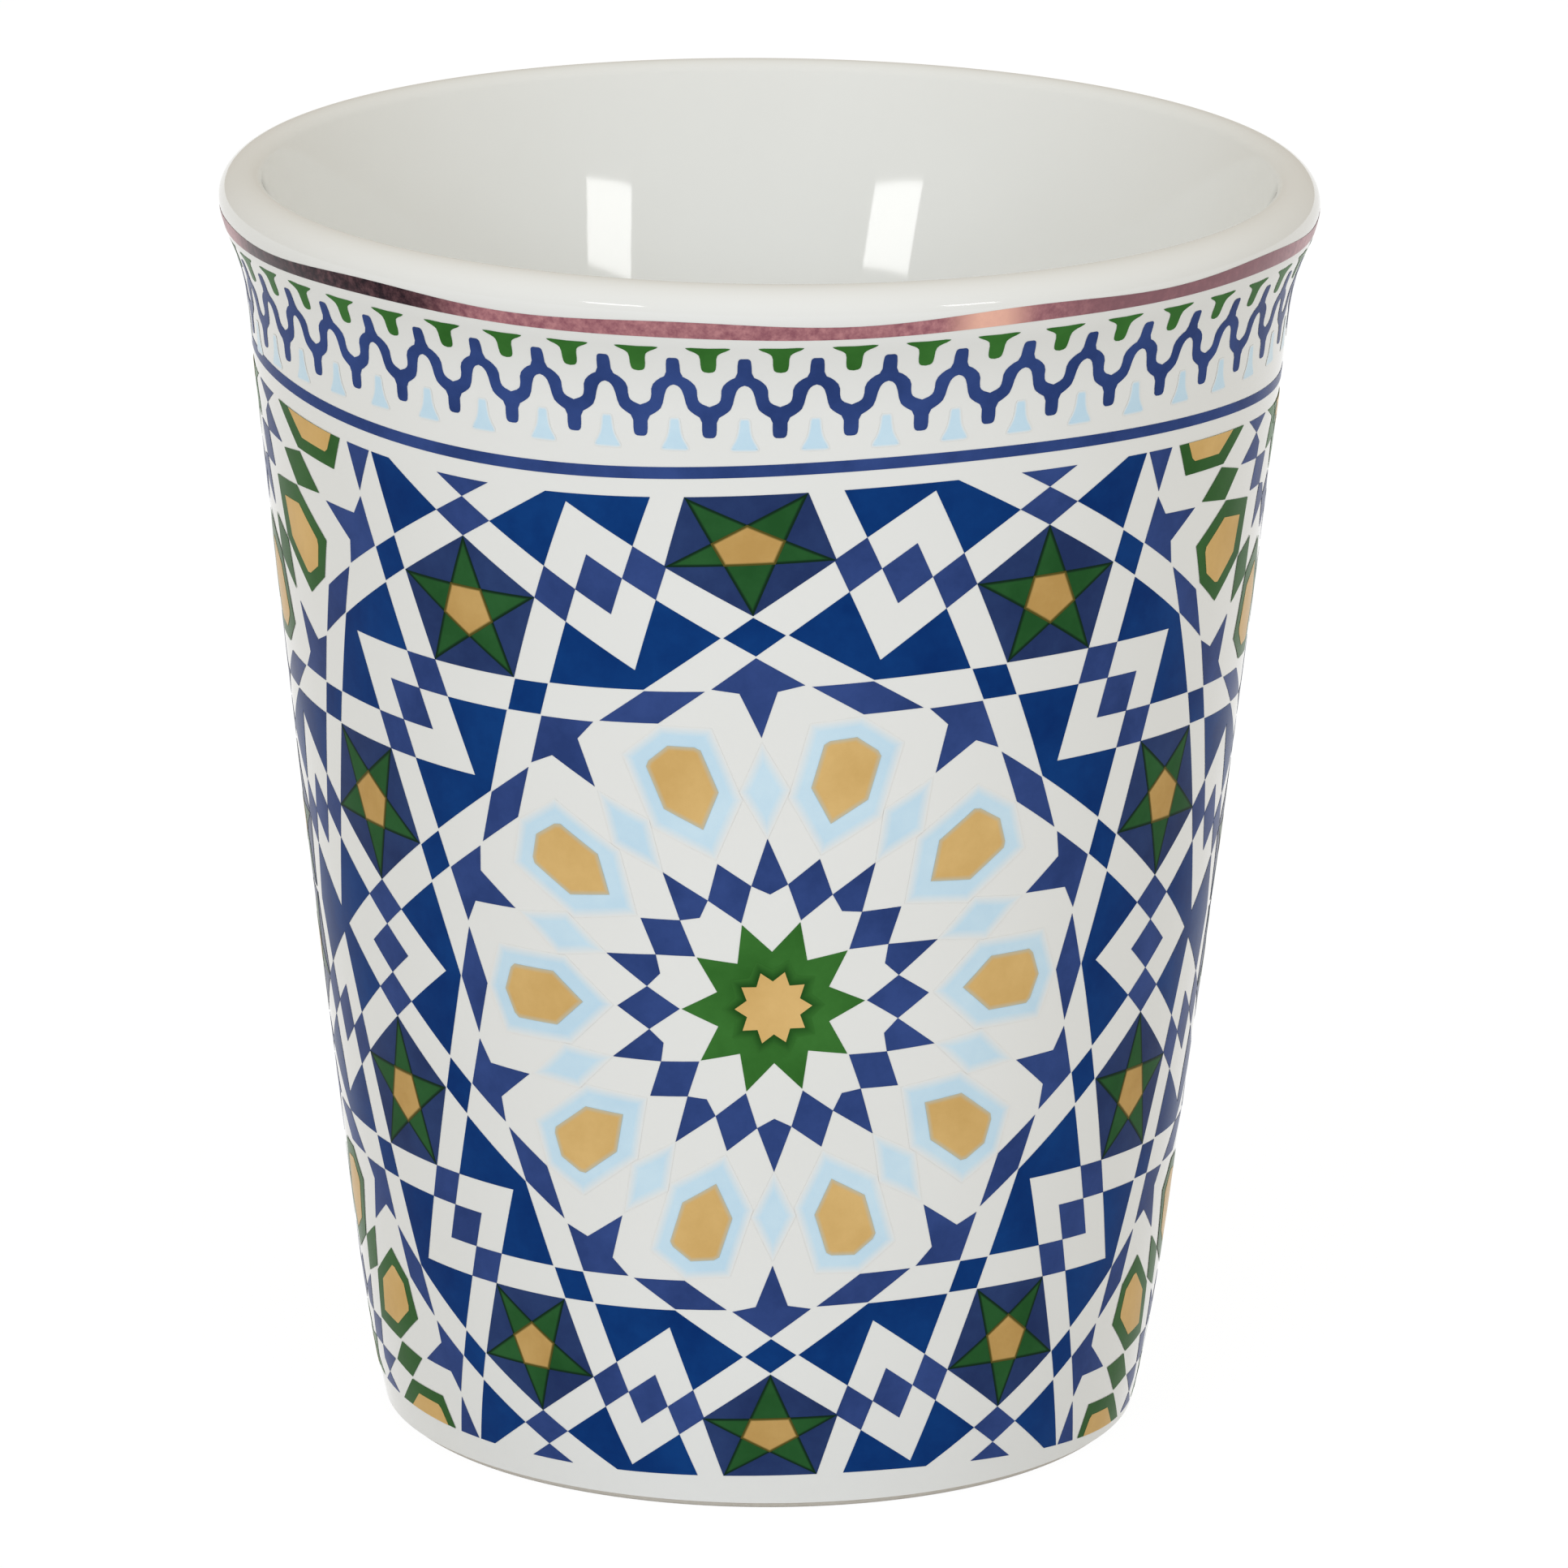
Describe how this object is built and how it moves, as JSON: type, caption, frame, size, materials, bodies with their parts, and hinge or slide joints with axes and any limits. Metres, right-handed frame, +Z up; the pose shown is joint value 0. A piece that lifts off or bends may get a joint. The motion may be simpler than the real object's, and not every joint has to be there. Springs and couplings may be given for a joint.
{
  "type": "espresso cup",
  "caption": "Tapered porcelain espresso beaker without a handle, flared rounded lip, turned foot ring, glazed white with a fired-on geometric tile print, waved border and metallic lustre line.",
  "frame": {"origin": "centre of the foot ring's resting face", "axes": "+Z up along the cup's axis, -Y towards the middle of one main rosette of the print"},
  "size_m": [0.06, 0.06, 0.07],
  "materials": {
    "bare_porcelain": "fired, unglazed porcelain, matt",
    "white_glaze": "white gloss glaze",
    "lustre": "pink-brown metallic lustre",
    "navy_enamel": "overglaze enamel, satin gloss",
    "tile_print": "screen-printed enamel transfer, satin gloss"
  },
  "bodies": {
    "root": {"porcelain_body": "bare_porcelain", "glaze_coat": "white_glaze", "foot_well_glaze": "white_glaze", "lustre_line": "lustre", "wave_line": "navy_enamel", "border_rule": "navy_enamel", "field_transfer": "tile_print"}
  },
  "joints": []
}
